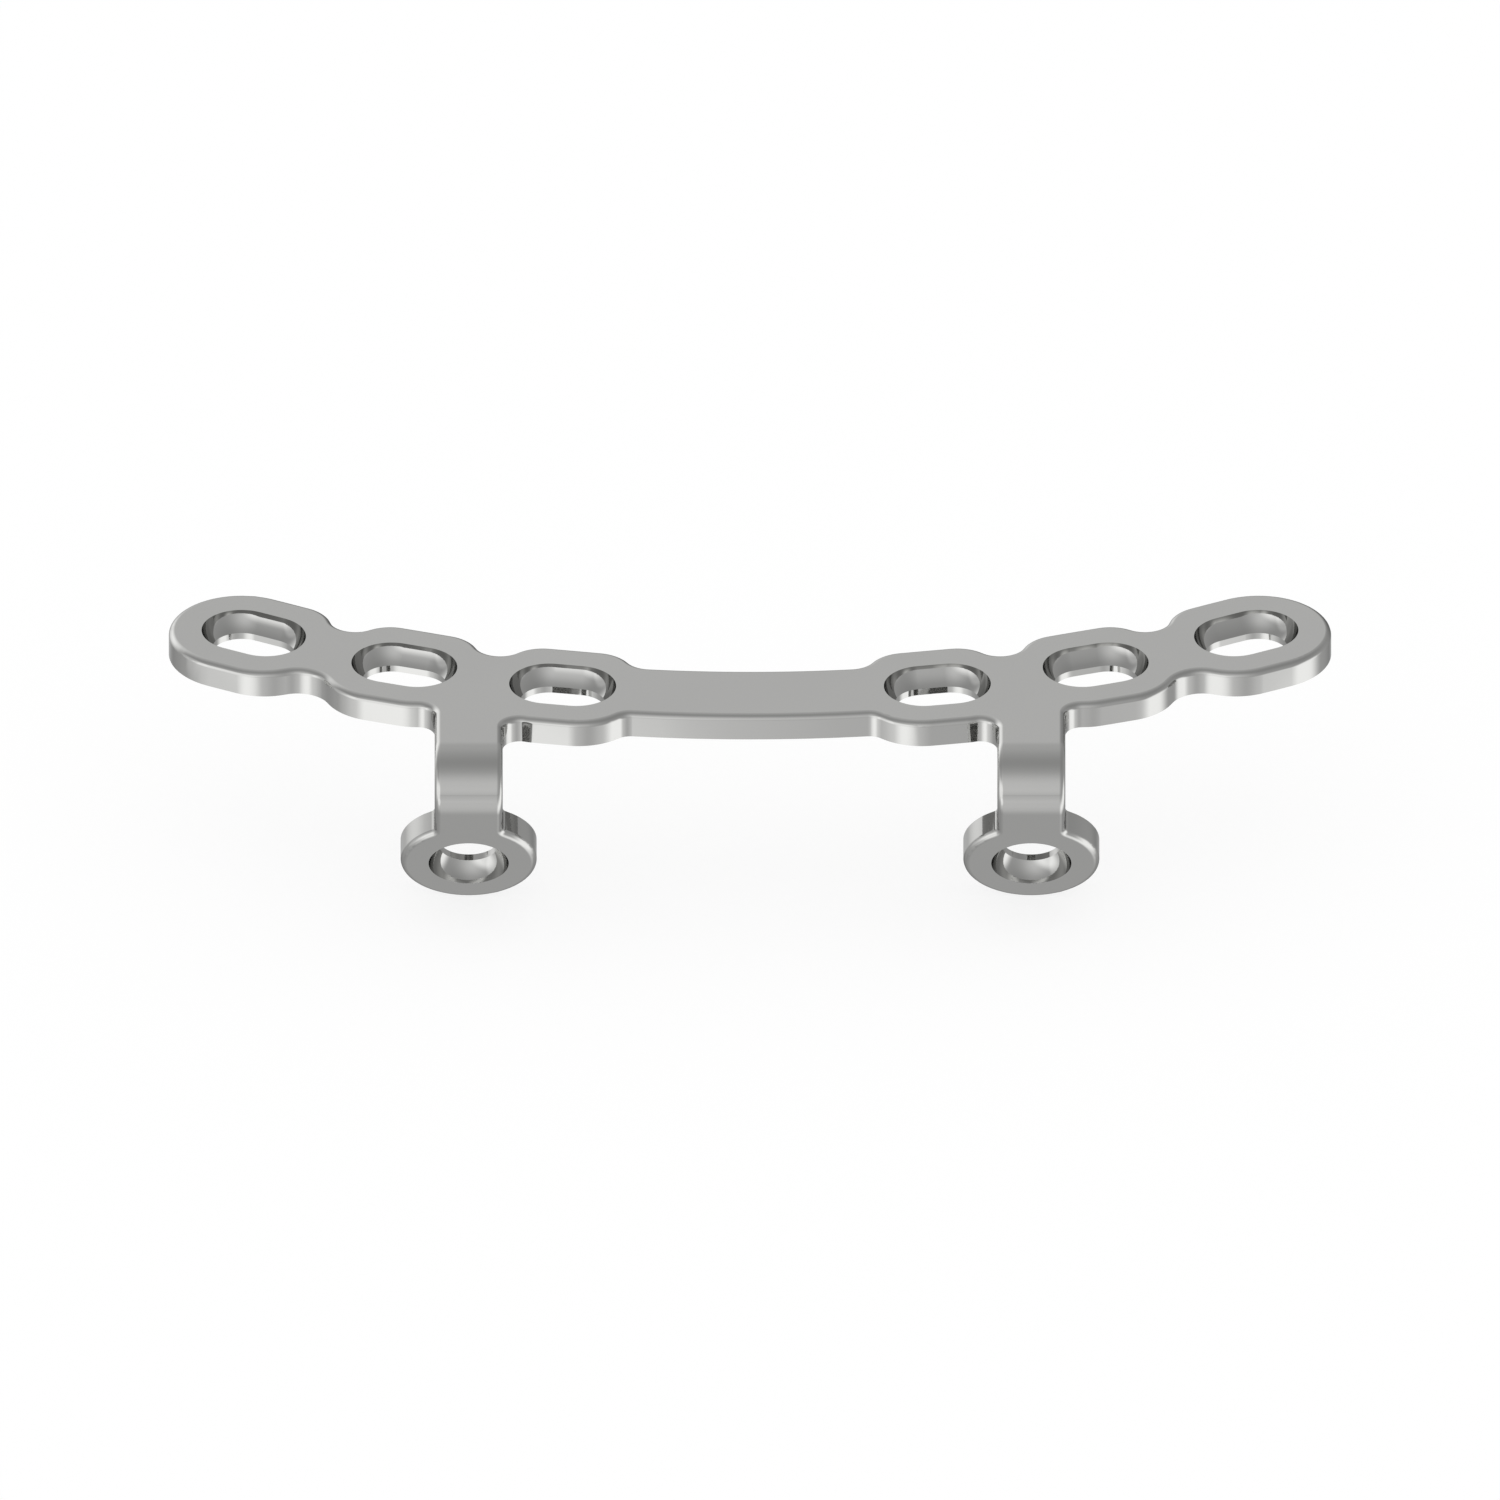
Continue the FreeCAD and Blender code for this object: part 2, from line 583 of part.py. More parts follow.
def outer_rim(shape, size):
    """Name the edges that go round the outer face of the plate, its bends and its rings."""
    turn = math.radians(size.bend_angle)
    ways = (UP, Vector(0, -math.sin(turn), math.cos(turn)))
    outer_radius = size.bend_inner_radius + size.plate_thickness

    def is_outer(face):
        if isinstance(face.Surface, Part.Cylinder):
            lies_level = abs(face.Surface.Axis.dot(SIDE_VIEW_AXIS)) > 1 - MATCH_TOLERANCE
            return lies_level and abs(face.Surface.Radius - outer_radius) < MATCH_TOLERANCE
        return any((face.normalAt(0, 0) - way).Length < MATCH_TOLERANCE for way in ways)

    outer_faces = [face for face in shape.Faces if is_outer(face)]
    names = []
    for number, edge in enumerate(shape.Edges, start=1):
        owners = [face for face in outer_faces if any(edge.isSame(other) for other in face.Edges)]
        if len(owners) == 1:
            names.append(f"Edge{number}")
    return names


def add_edge_round(body, base, size):
    """Round the outline of the outer face in one run over plate, bends and rings."""
    edge_round = body.newObject("PartDesign::Fillet", "edge_round")
    edge_round.Base = (base, outer_rim(base.Shape, size))
    edge_round.setExpression("Radius", "Sizes.edge_round")
    return edge_round


def slot_end_place(side):
    """Place a section at one end of the first slot, on the plane that looks along the plate."""
    along = f"{side} * Sizes.slot_travel / 2"
    x, y = slot_formulas(0, along, "0")
    return {"x": x, "z": f"-(Sizes.arc_radius + {y})", "turn": FIRST_SLOT_TURN}


def slot_middle_place():
    """Place a section across the middle of the first slot."""
    x, y = slot_formulas(0, "0", "0")
    return {"x": f"Sizes.arc_radius + {y}", "z": x, "turn": FIRST_SLOT_TURN}


def ring_place():
    """Place a section on the axis of a ring, on the plane that looks across the plate."""
    drop = "Sizes.bend_inner_radius"
    reach = "Sizes.ring_distance"
    turn = "Sizes.bend_angle"
    return {
        "x": f"-Sizes.bend_start_offset - {drop} * sin({turn}) - {reach} * cos({turn})",
        "y": f"{drop} * (cos({turn}) - 1) - {reach} * sin({turn})",
        "z": ARM_PLACE,
        "turn": turn,
    }


def add_slots(body, size):
    """Cut the first slot, then repeat it along the curve and on the other side."""
    cuts = []
    for name, side in (("near", -1), ("far", 1)):
        place = slot_end_place(side)
        sketch = draw_seat(body, size, f"slot_{name}_section", "XZ_Plane", place, SHEET_UP, False)
        cuts.append(add_turn(body, sketch, "Groove", f"slot_{name}_end", "V_Axis", str(SEAT_TURN)))
    place = slot_middle_place()
    sketch = draw_seat(body, size, "slot_middle_section", "YZ_Plane", place, SHEET_UP, True)
    run = body.newObject("PartDesign::Pocket", "slot_run")
    run.Profile = sketch
    run.SideType = "Symmetric"
    run.setExpression("Length", "Sizes.slot_travel")
    cuts.append(run)
    body.Document.recompute()

    plan = body.Document.getObject("plan")
    along = body.Document.addObject("PartDesign::PolarPattern", "slots_along_curve")
    along.Axis = (plan, ["N_Axis"])
    along.Mode = "Spacing"
    along.setExpression("Offset", PITCH_TURN)
    along.Occurrences = SLOTS_PER_SIDE
    across = body.Document.addObject("PartDesign::Mirrored", "slots_both_sides")
    across.MirrorPlane = (origin_plane(body, "YZ_Plane"), [""])
    slots = body.newObject("PartDesign::MultiTransform", "slots")
    slots.Originals = cuts
    slots.Transformations = [along, across]
    body.Tip = slots
    return slots


def add_ring_seats(body, size):
    """Cut the round screw seat in one ring and repeat it in the other."""
    sketch = draw_seat(body, size, "ring_section", "YZ_Plane", ring_place(), UP, False)
    seat = add_turn(body, sketch, "Groove", "ring_seat", "V_Axis", str(SEAT_TURN))
    return mirror_of(body, [seat], "ring_seats")


def build_plate(doc, size):
    """Build the whole plate as one body."""
    body = doc.addObject("PartDesign::Body", "plate_body")
    body.Label = NODE
    body.Placement = Placement()
    plate = add_pad(body, PlanOutline(body, size).draw(), "plate")
    section = draw_bend_section(body, size)
    bend = add_turn(body, section, "Revolution", "bend", "H_Axis", "Sizes.bend_angle")
    ring = add_pad(body, draw_ring_outline(body, size), "ring")
    halves = mirror_of(body, [plate, bend, ring], "both_halves")
    doc.recompute()
    add_edge_round(body, halves, size)
    doc.recompute()
    add_slots(body, size)
    add_ring_seats(body, size)
    doc.recompute()
    return body


def removes_metal(feature):
    """Tell whether a feature, or the one that a pattern repeats, takes metal away."""
    originals = getattr(feature, "Originals", None)
    made_by = originals[0] if originals else feature
    return made_by.TypeId in ("PartDesign::Groove", "PartDesign::Pocket", "PartDesign::Fillet")


def check_document(doc, body):
    """Stop where an object failed, a feature did nothing or the plate isn't one valid solid."""
    for item in doc.Objects:
        if "Invalid" in item.State or "Error" in item.State:
            raise RuntimeError(f"{item.Name} failed: {item.State}")
    for item in body.Group:
        base = getattr(item, "BaseFeature", None)
        if base is None:
            continue
        grown = item.Shape.Volume - base.Shape.Volume
        change = -grown if removes_metal(item) else grown
        if change <= 0:
            raise RuntimeError(f"{item.Name} changed the volume the wrong way")
    shape = body.Shape
    if shape.isNull() or not shape.isValid() or len(shape.Solids) != 1:
        raise RuntimeError("the plate is not one valid solid")


def main():
    """Build the plate, check it and write its STEP file."""
    doc = FreeCAD.newDocument("bone_plate_model")
    size = make_sheet(doc)
    body = build_plate(doc, size)
    check_document(doc, body)
    os.makedirs("parts", exist_ok=True)
    body.Shape.exportStep(f"parts/{NODE}.step")
    box = body.Shape.BoundBox
    print(f"{NODE}: {box.XLength:.2f} x {box.YLength:.2f} x {box.ZLength:.2f} mm")
    print(f"{NODE}: volume {body.Shape.Volume:.1f} mm3")


main()
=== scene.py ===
"""The looks of a curved steel bone plate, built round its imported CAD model.

The plate is one piece of implant steel. Its outer faces are tumbled to a soft polish, and the
screw seats in its six slots and two bent rings are turned. This script dresses both finishes, lays
a plain pale floor under the plate and sets the light and the camera of the product picture.
"""

import json
import logging
import math
from dataclasses import dataclass, field
from enum import Enum

import bmesh
import bpy
from mathutils import Euler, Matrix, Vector


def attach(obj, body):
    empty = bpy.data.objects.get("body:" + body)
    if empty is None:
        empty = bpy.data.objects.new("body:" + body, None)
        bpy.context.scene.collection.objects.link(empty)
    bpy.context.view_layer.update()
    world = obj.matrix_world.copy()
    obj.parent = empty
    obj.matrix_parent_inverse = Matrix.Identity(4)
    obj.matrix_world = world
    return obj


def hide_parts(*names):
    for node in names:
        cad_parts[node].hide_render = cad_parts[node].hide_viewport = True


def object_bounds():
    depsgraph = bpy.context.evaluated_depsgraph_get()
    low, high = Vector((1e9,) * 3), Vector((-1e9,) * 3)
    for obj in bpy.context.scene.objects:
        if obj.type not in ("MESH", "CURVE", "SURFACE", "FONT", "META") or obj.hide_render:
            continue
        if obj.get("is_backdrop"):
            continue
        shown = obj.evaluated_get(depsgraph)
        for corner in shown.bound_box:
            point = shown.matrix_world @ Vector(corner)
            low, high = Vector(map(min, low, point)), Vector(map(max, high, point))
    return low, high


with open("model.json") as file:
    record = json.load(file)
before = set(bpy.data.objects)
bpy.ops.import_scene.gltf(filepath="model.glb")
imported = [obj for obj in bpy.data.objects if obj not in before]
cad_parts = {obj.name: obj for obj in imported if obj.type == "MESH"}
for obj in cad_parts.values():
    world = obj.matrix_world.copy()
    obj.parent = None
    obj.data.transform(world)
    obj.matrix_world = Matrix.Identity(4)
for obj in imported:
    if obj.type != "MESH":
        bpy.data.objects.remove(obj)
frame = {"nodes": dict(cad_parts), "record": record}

log = logging.getLogger("bone_plate")

MM = 0.001
PLATE_NODE = "bone_plate"
PLATE_BODY = "root"
SEAT_HEIGHT = "seat_height"
CAD_NORMAL = "cad_normal"
BULGE = "bulge"
HALF_TURN = 180.0

Node = bpy.types.Node
Socket = bpy.types.NodeSocket
Tree = bpy.types.NodeTree


class Zone(Enum):
    """The parts of the plate that are finished apart. The value is the material's index."""

    OUTER_FACES = 0
    SCREW_SEATS = 1


class NodeBoard:
    """Adds nodes to one tree, sets their sockets and joins them."""

    def __init__(self, tree: Tree) -> None:
        """Keeps the tree and starts it empty.

        Args:
            tree: The material's, world's or group's node tree.
        """
        self.tree = tree
        self.tree.nodes.clear()

    def add(self, kind: str, **settings: object) -> Node:
        """Adds a node and sets its own settings.

        Args:
            kind: The node's type name.
            **settings: The node's properties by name, such as operation.

        Returns:
            The new node.
        """
        node = self.tree.nodes.new(kind)
        for name, value in settings.items():
            setattr(node, name, value)
        return node

    def feed(self, node: Node, **values: object) -> Node:
        """Sets a node's inputs, each to a value or to another node's output.

        Args:
            node: The node that takes the values.
            **values: Values or sockets by input name, with spaces written as underscores.

        Returns:
            The same node.
        """
        for name, value in values.items():
            socket = node.inputs[name.replace("_", " ")]
            self.join(value, socket)
        return node

    def join(self, value: object, socket: Socket) -> None:
        """Links a socket to an output, or gives it a plain value.

        Args:
            value: An output socket or a number, colour or vector.
            socket: The input that takes it.
        """
        if isinstance(value, Socket):
            self.tree.links.new(value, socket)
        else:
            socket.default_value = value

    def math(self, operation: str, *values: object) -> Socket:
        """Adds a Math node.

        Args:
            operation: The node's operation.
            *values: Its inputs in order, each a number or a socket.

        Returns:
            The result.
        """
        node = self.add("ShaderNodeMath", operation=operation)
        for value, socket in zip(values, node.inputs):
            self.join(value, socket)
        return node.outputs["Value"]

    def span(self, value: Socket, source: tuple[object, object], target: tuple[float, float]) -> Socket:
        """Maps a value smoothly from one range onto another, and holds it there.

        Args:
            value: The value to map.
            source: The range that it comes from.
            target: What the two ends of that range become.

        Returns:
            The mapped value.
        """
        node = self.add("ShaderNodeMapRange", interpolation_type="SMOOTHSTEP")
        self.join(value, node.inputs["Value"])
        self.join(source[0], node.inputs["From Min"])
        self.join(source[1], node.inputs["From Max"])
        self.join(target[0], node.inputs["To Min"])
        self.join(target[1], node.inputs["To Max"])
        return node.outputs["Result"]

    def mix(self, share: Socket, first: Socket, second: Socket) -> Socket:
        """Adds a Mix Shader node.

        Args:
            share: How much of the second shader shows.
            first: The shader at a share of 0.
            second: The shader at a share of 1.

        Returns:
            The mixed shader.
        """
        node = self.add("ShaderNodeMixShader")
        for value, socket in zip((share, first, second), node.inputs):
            self.join(value, socket)
        return node.outputs["Shader"]

    def place(self, group: Tree, **values: object) -> Node:
        """Places a node group and sets its inputs.

        Args:
            group: The group's tree.
            **values: Its inputs by name, with spaces written as underscores.

        Returns:
            The group's node.
        """
        node = self.add("ShaderNodeGroup", node_tree=group)
        return self.feed(node, **values)


def start_group(
    name: str, inputs: dict[str, str], outputs: dict[str, str]
) -> tuple[NodeBoard, Node, Node]:
    """Starts a shader node group with named inputs and outputs.

    Args:
        name: The group's name.
        inputs: The type of each input by its name.
        outputs: The type of each output by its name.

    Returns:
        A board for the group's nodes, its input node and its output node.
    """
    tree = bpy.data.node_groups.new(name, "ShaderNodeTree")
    for label, kind in inputs.items():
        tree.interface.new_socket(label, in_out="INPUT", socket_type=kind)
    for label, kind in outputs.items():
        tree.interface.new_socket(label, in_out="OUTPUT", socket_type=kind)
    board = NodeBoard(tree)
    return board, board.add("NodeGroupInput"), board.add("NodeGroupOutput")


@dataclass
class SurfaceEffects:
    """The two fine effects that both steel finishes share, as shader node groups."""

    grain_detail: float = 3.0
    grain_roughness: float = 0.62
    cloud_scale: float = 140.0
    cloud_span: tuple[float, float] = (0.3, 0.7)
    cloud_share: float = 0.5
    mark_stretch: float = 14.0
    mark_turns: tuple[float, float] = (24.0, -51.0)
    grain: Tree = field(init=False)
    polish_marks: Tree = field(init=False)

    def __post_init__(self) -> None:
        """Builds both groups once."""
        self.grain = self._build_grain()
        self.polish_marks = self._build_polish_marks()

    def _build_grain(self) -> Tree:
        """Builds the grain that tumbling leaves: a fine even tooth over slow soft clouds.

        Returns:
            The group, with a mask and a height that both lie between 0 and 1.
        """
        inputs = {"Place": "NodeSocketVector", "Scale": "NodeSocketFloat"}
        outputs = {"Mask": "NodeSocketFloat", "Height": "NodeSocketFloat"}
        board, given, result = start_group("tumbled_grain", inputs, outputs)
        tooth = board.add("ShaderNodeTexNoise")
        board.feed(
            tooth,
            Vector=given.outputs["Place"],
            Scale=given.outputs["Scale"],
            Detail=self.grain_detail,
            Roughness=self.grain_roughness,
        )
        clouds = board.add("ShaderNodeTexNoise")
        board.feed(
            clouds,
            Vector=given.outputs["Place"],
            Scale=self.cloud_scale,
            Detail=self.grain_detail,
        )
        soft = board.span(clouds.outputs["Fac"], self.cloud_span, (0.0, 1.0))
        fine = board.math("MULTIPLY", tooth.outputs["Fac"], 1.0 - self.cloud_share)
        mixed = board.math("MULTIPLY_ADD", soft, self.cloud_share, fine)
        board.join(mixed, result.inputs["Mask"])
        board.join(tooth.outputs["Fac"], result.inputs["Height"])
        return board.tree

    def _build_polish_marks(self) -> Tree:
        """Builds the hair-thin marks of a polish: noise drawn out along two crossing ways.

        Returns:
            The group, with a height between 0 and 1.
        """
        inputs = {"Place": "NodeSocketVector", "Scale": "NodeSocketFloat"}
        outputs = {"Height": "NodeSocketFloat"}
        board, given, result = start_group("polish_marks", inputs, outputs)
        heights = []
        for turn in self.mark_turns:
            drawn = board.add("ShaderNodeMapping")
            board.feed(
                drawn,
                Vector=given.outputs["Place"],
                Rotation=(0.0, 0.0, math.radians(turn)),
                Scale=(1.0, self.mark_stretch, self.mark_stretch),
            )
            noise = board.add("ShaderNodeTexNoise")
            board.feed(noise, Vector=drawn.outputs["Vector"], Scale=given.outputs["Scale"])
            heights.append(noise.outputs["Fac"])
        board.join(board.math("MINIMUM", *heights), result.inputs["Height"])
        return board.tree


@dataclass(frozen=True)
class SteelFinish:
    """A finish of the plate's steel: its colour, gloss and the fine relief of its making.

    The glance is the share of light that the steel throws back at a grazing angle.
    """

    name: str
    colour: tuple[float, float, float]
    glance: tuple[float, float, float]
    colour_spread: float
    roughness: float
    roughness_spread: float
    grain_scale: float
    grain_height: float
    mark_scale: float
    mark_height: float
    turning_scale: float = 0.0
    turning_height: float = 0.0

    def build(self, effects: SurfaceEffects) -> bpy.types.Material:
        """Builds the finish as a node material.

        Args:
            effects: The groups that the finishes share.

        Returns:
            The material.
        """
        material = bpy.data.materials.new(self.name)
        material.use_nodes = True
        board = NodeBoard(material.node_tree)
        place = board.add("ShaderNodeTexCoord").outputs["Object"]
        grain = board.place(effects.grain, Place=place, Scale=self.grain_scale)
        marks = board.place(effects.polish_marks, Place=place, Scale=self.mark_scale)
        steel = board.add("ShaderNodeBsdfPrincipled")
        board.feed(
            steel,
            Base_Color=self._colour(board, grain.outputs["Mask"]),
            Metallic=1.0,
            Roughness=self._roughness(board, grain.outputs["Mask"]),
            Specular_Tint=(*self.glance, 1.0),
            Normal=self._relief(board, grain.outputs["Height"], marks.outputs["Height"]),
        )
        surface = board.add("ShaderNodeOutputMaterial")
        board.feed(surface, Surface=steel.outputs["BSDF"])
        return material

    def _colour(self, board: NodeBoard, mask: Socket) -> Socket:
        """Lets the steel's colour drift a little either side of its own.

        Args:
            board: The material's board.
            mask: The grain's mask.

        Returns:
            The colour.
        """
        mix = board.add("ShaderNodeMix", data_type="RGBA")
        board.join(mask, mix.inputs["Factor"])
        darker, lighter = (socket for socket in mix.inputs if socket.type == "RGBA")
        for socket, side in ((darker, -1.0), (lighter, 1.0)):
            shade = 1.0 + side * self.colour_spread
            socket.default_value = (*(shade * part for part in self.colour), 1.0)
        return next(socket for socket in mix.outputs if socket.type == "RGBA")

    def _roughness(self, board: NodeBoard, mask: Socket) -> Socket:
        """Spreads the roughness about its middle value.

        Args:
            board: The material's board.
            mask: The grain's mask.

        Returns:
            The roughness.
        """
        low = self.roughness - self.roughness_spread
        high = self.roughness + self.roughness_spread
        return board.span(mask, (0.0, 1.0), (low, high))

    def _relief(self, board: NodeBoard, grain: Socket, marks: Socket) -> Socket:
        """Lays the grain, the polish marks and any turning rings over one another as bumps.

        Args:
            board: The material's board.
            grain: The grain's height.
            marks: The polish marks' height.

        Returns:
            The normal.
        """
        layers = [(grain, self.grain_height), (marks, self.mark_height)]
        if self.turning_height:
            layers.append((self._turning(board), self.turning_height))
        normal = None
        for height, depth in layers:
            bump = board.add("ShaderNodeBump")
            board.feed(bump, Strength=1.0, Distance=depth, Height=height)
            if normal:
                board.join(normal, bump.inputs["Normal"])
            normal = bump.outputs["Normal"]
        return normal

    def _turning(self, board: NodeBoard) -> Socket:
        """Makes the rings that a turning tool leaves round a seat, one over another.

        Args:
            board: The material's board.

        Returns:
            The rings' height, between 0 and 1.
        """
        height = board.add("ShaderNodeAttribute", attribute_name=SEAT_HEIGHT).outputs["Fac"]
        rings = board.add("ShaderNodeTexNoise", noise_dimensions="1D")
        board.feed(rings, W=height, Scale=self.turning_scale)
        return rings.outputs["Fac"]


TUMBLED_STEEL = SteelFinish(
    name="tumbled_steel",
    colour=(0.470, 0.470, 0.460),
    glance=(0.75, 0.75, 0.75),
    colour_spread=0.012,
    roughness=0.065,
    roughness_spread=0.012,
    grain_scale=9000.0,
    grain_height=0.0002 * MM,
    mark_scale=260.0,
    mark_height=0.0002 * MM,
)

TURNED_STEEL = SteelFinish(
    name="turned_steel",
    colour=(0.470, 0.470, 0.460),
    glance=(0.75, 0.75, 0.75),
    colour_spread=0.010,
    roughness=0.04,
    roughness_spread=0.010,
    grain_scale=12000.0,
    grain_height=0.0002 * MM,
    mark_scale=260.0,
    mark_height=0.0002 * MM,
    turning_scale=14000.0,
    turning_height=0.0003 * MM,
)


@dataclass(frozen=True)
class SeatOpening:
    """One screw opening of the plate: its middle, the way a screw comes out and its reach.

    A face whose normal agrees with the axis over the flat face value lies flat on the plate. A wall
    whose normal leans to the axis by less than the straight wall value is the land below the seat.
    """

    centre: Vector
    axis: Vector
    hole_radius: float
    reach: float
    ball_radius: float = 3.0 * MM
    land_height: float = 0.5 * MM
    flat_face: float = 0.999
    straight_wall: float = 0.1

    def height(self, point: Vector) -> float:
        """Returns how far a point lies along the opening's axis from its middle."""
        return (point - self.centre).dot(self.axis)

    def ball_height(self) -> float:
        """Returns how far along the axis the ball that cut the seat had its centre."""
        return self.land_height / 2.0 + math.sqrt(self.ball_radius**2 - self.hole_radius**2)

    def wall_normal(self, point: Vector, normal: Vector) -> Vector:
        """Leans the normal of the seat's wall as the ball left it at that depth.

        Args:
            point: A point of the opening's wall.
            normal: The wall's normal there, as the facets give it.

        Returns:
            The round wall's true normal, or the same normal on the straight wall below it.
        """
        facet_lean = normal.dot(self.axis)
        if facet_lean < self.straight_wall:
            return normal
        lean = (self.ball_height() - self.height(point)) / self.ball_radius
        across = (normal - facet_lean * self.axis).normalized()
        return math.sqrt(1.0 - lean**2) * across + lean * self.axis

    def holds(self, face: bmesh.types.BMFace) -> bool:
        """Says whether a face is part of this opening's wall.

        Args:
            face: A face of the plate.

        Returns:
            True for a face of the seat or of the hole below it.
        """
        middle = face.calc_center_median()
        along = self.height(middle)
        across = (middle - self.centre - along * self.axis).length
        is_wall = abs(face.normal.dot(self.axis)) < self.flat_face
        return is_wall and across < self.reach and abs(along) < self.reach


@dataclass
class BonePlate:
    """The whole plate as one closed steel piece, with its screw seats finished apart.

    The ledge is how far a seat's mouth reaches past its hole. Two normals with a dot product over
    the flat match share a flat patch, and over the smooth match they share a smooth surface.
    """

    weld_distance: float = 0.0005 * MM
    seat_ledge: float = 0.90 * MM
    flat_match: float = 0.99998
    smooth_match: float = 0.87
    name: str = "steel_bone_plate"

    def build(self) -> bpy.types.Object:
        """Makes the plate's piece from the CAD model and dresses it.

        Returns:
            The finished piece.
        """
        mesh = self._copy_with_normals()
        shell = bmesh.new()
        shell.from_mesh(mesh)
        self._weld(shell)
        self._smooth_normals(shell)
        self._finish_seats(shell)
        self._round_out(shell)
        shell.to_mesh(mesh)
        shell.free()
        self._restore_normals(mesh)
        piece = bpy.data.objects.new(self.name, mesh)
        bpy.context.scene.collection.objects.link(piece)
        self._dress(piece)
        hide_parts(PLATE_NODE)
        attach(piece, PLATE_BODY)
        return piece

    def openings(self) -> list[SeatOpening]:
        """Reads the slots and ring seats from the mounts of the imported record.

        Returns:
            One opening for each mount that has a hole.
        """
        found = []
        for mount in frame["record"]["mounts"]:
            dims = mount["dims"]
            if "hole_r_mm" in dims:
                radius = dims["hole_r_mm"] * MM
                reach = dims["slot_length_mm"] / 2.0 * MM
            elif "r_mm" in dims:
                radius = reach = dims["r_mm"] * MM
            else:
                continue
            centre = Vector(mount["pos_m"])
            axis = Vector(mount["axis"]).normalized()
            found.append(SeatOpening(centre, axis, radius, reach + self.seat_ledge))
        return found

    def _copy_with_normals(self) -> bpy.types.Mesh:
        """Copies the CAD mesh and writes its normals into the copy as an attribute.

        Returns:
            The copy.
        """
        mesh = frame["nodes"][PLATE_NODE].data.copy()
        mesh.name = self.name
        mesh.materials.clear()
        kept = mesh.attributes.new(CAD_NORMAL, "FLOAT_VECTOR", "CORNER")
        normals = [part for corner in mesh.corner_normals for part in corner.vector]
        kept.data.foreach_set("vector", normals)
        return mesh

    def _weld(self, shell: bmesh.types.BMesh) -> None:
        """Merges the loose triangles into one closed shell.

        Args:
            shell: The plate's triangles.
        """
        bmesh.ops.remove_doubles(shell, verts=shell.verts, dist=self.weld_distance)
        shell.normal_update()
        open_edges = sum(not edge.is_manifold for edge in shell.edges)
        log.info("%s: %d faces, %d open edges", self.name, len(shell.faces), open_edges)

    def _flat_areas(self, shell: bmesh.types.BMesh) -> dict[bmesh.types.BMFace, float]:
        """Measures the flat patch that each face belongs to.

        Args:
            shell: The plate's closed shell.

        Returns:
            The area of a face's whole patch, by face.
        """
        areas = {}
        for start in shell.faces:
            if start in areas:
                continue
            patch = {start}
            waiting = [start]
            while waiting:
                face = waiting.pop()
                beside = {other for edge in face.edges for other in edge.link_faces} - patch
                level = [
                    other for other in beside if other.normal.dot(start.normal) > self.flat_match
                ]
                patch.update(level)
                waiting.extend(level)
            area = sum(face.calc_area() for face in patch)
            areas.update((face, area) for face in patch)
        return areas

    def _smooth_normals(self, shell: bmesh.types.BMesh) -> None:
        """Makes the normals agree where a face of the CAD model runs smoothly into the next.

        The larger flat patch counts for more, so a flat face stays flat up to its edge round.

        Args:
            shell: The plate's closed shell, with the CAD normals at its corners.
        """
        kept = shell.loops.layers.float_vector[CAD_NORMAL]
        areas = self._flat_areas(shell)
        smoothed = {}
        for vert in shell.verts:
            corners = [(loop, loop[kept].copy(), areas[loop.face]) for loop in vert.link_loops]
            for loop, normal, _ in corners:
                level = [
                    area * other
                    for _, other, area in corners
                    if normal.dot(other) > self.smooth_match
                ]
                smoothed[loop] = sum(level, Vector()).normalized()
        for loop, normal in smoothed.items():
            loop[kept] = normal

    def _finish_seats(self, shell: bmesh.types.BMesh) -> None:
        """Marks out the screw seats and gives their round walls the normals of a ball cut.

        Args:
            shell: The plate's closed shell, with smooth normals at its corners.
        """
        kept = shell.loops.layers.float_vector[CAD_NORMAL]
        seat_height = shell.verts.layers.float.new(SEAT_HEIGHT)
        openings = self.openings()
        for face in shell.faces:
            face.smooth = True
            opening = next((one for one in openings if one.holds(face)), None)
            face.material_index = (Zone.SCREW_SEATS if opening else Zone.OUTER_FACES).value
            if opening:
                for loop in face.loops:
                    loop[kept] = opening.wall_normal(loop.vert.co, loop[kept])
                    loop.vert[seat_height] = opening.height(loop.vert.co)
        seats = sum(face.material_index == Zone.SCREW_SEATS.value for face in shell.faces)
        log.info("%s: %d faces in %d screw seats", self.name, seats, len(openings))

    def _round_out(self, shell: bmesh.types.BMesh) -> None:
        """Halves the facets and moves the new points out onto the true round surfaces.

        Every new point is held inside the box that the shell already fills.

        Args:
            shell: The plate's closed shell, with true normals at its corners.
        """
        bulge = shell.edges.layers.float_vector.new(BULGE)
        for edge in shell.edges:
            edge[bulge] = self._bulge(edge, shell.loops.layers.float_vector[CAD_NORMAL])
        reach = [(min(side), max(side)) for side in zip(*(vert.co for vert in shell.verts))]
        halved = bmesh.ops.subdivide_edges(shell, edges=shell.edges[:], cuts=1, use_grid_fill=True)
        bulge = shell.edges.layers.float_vector[BULGE]
        for vert in halved["geom_inner"]:
            if isinstance(vert, bmesh.types.BMVert):
                way = max((edge[bulge] for edge in vert.link_edges), key=lambda one: one.length)
                place = zip(vert.co + way, reach)
                vert.co = [min(max(value, least), most) for value, (least, most) in place]
        shell.normal_update()
        kept = shell.loops.layers.float_vector[CAD_NORMAL]
        for face in shell.faces:
            for loop in face.loops:
                loop[kept] = loop[kept].normalized()
        log.info("%s: %d faces once rounded out", self.name, len(shell.faces))

